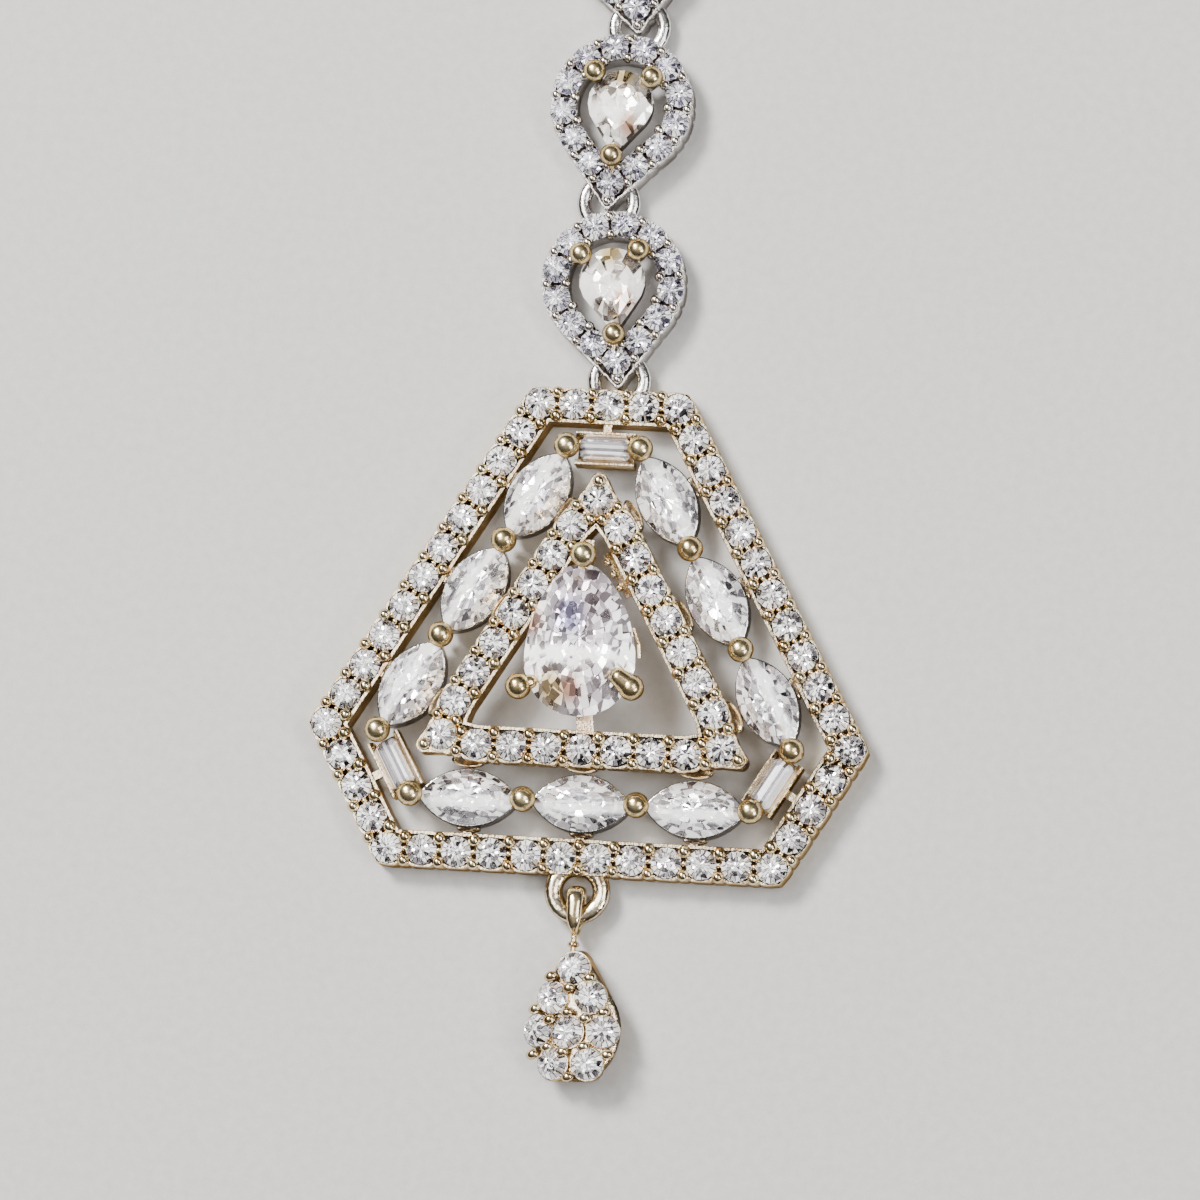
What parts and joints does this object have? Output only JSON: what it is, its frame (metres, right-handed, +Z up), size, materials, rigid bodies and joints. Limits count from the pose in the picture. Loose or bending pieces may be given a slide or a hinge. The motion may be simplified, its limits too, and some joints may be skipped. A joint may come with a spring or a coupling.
{
  "type": "maang tikka",
  "caption": "Head jewel with a cut-corner triangular pendant of pavé bars and fancy-cut stones, a chain of pear-shaped pavé links, a teardrop below and a hair hook above.",
  "frame": {"origin": "middle of the footprint, on the surface that the jewel lies on", "axes": "+Y towards the hair end of the chain, +Z up from the jewel's back to its front, +X to the right as its front is seen"},
  "size_m": [0.0284, 0.0758, 0.0053],
  "materials": {
    "rose_white_plate": "polished pale gold plate with bright colourless pavé stones",
    "white_plate": "polished white plate with bright colourless pavé stones",
    "clear_stone": "colourless faceted stone"
  },
  "bodies": {
    "root": {"baguette_stone_1": "clear_stone", "baguette_stone_2": "clear_stone", "baguette_stone_3": "clear_stone", "centre_pear_stone": "clear_stone", "connector_ring_1": "white_plate", "connector_ring_2": "white_plate", "connector_ring_3": "white_plate", "connector_ring_4": "white_plate", "drop": "rose_white_plate", "hair_hook": "white_plate", "link_1": "white_plate", "link_2": "white_plate", "link_3": "white_plate", "link_stone_1": "clear_stone", "link_stone_2": "clear_stone", "link_stone_3": "clear_stone", "marquise_stone_1": "clear_stone", "marquise_stone_2": "clear_stone", "marquise_stone_3": "clear_stone", "marquise_stone_4": "clear_stone", "marquise_stone_5": "clear_stone", "marquise_stone_6": "clear_stone", "marquise_stone_7": "clear_stone", "marquise_stone_8": "clear_stone", "marquise_stone_9": "clear_stone", "pendant_casting": "rose_white_plate"}
  },
  "joints": []
}
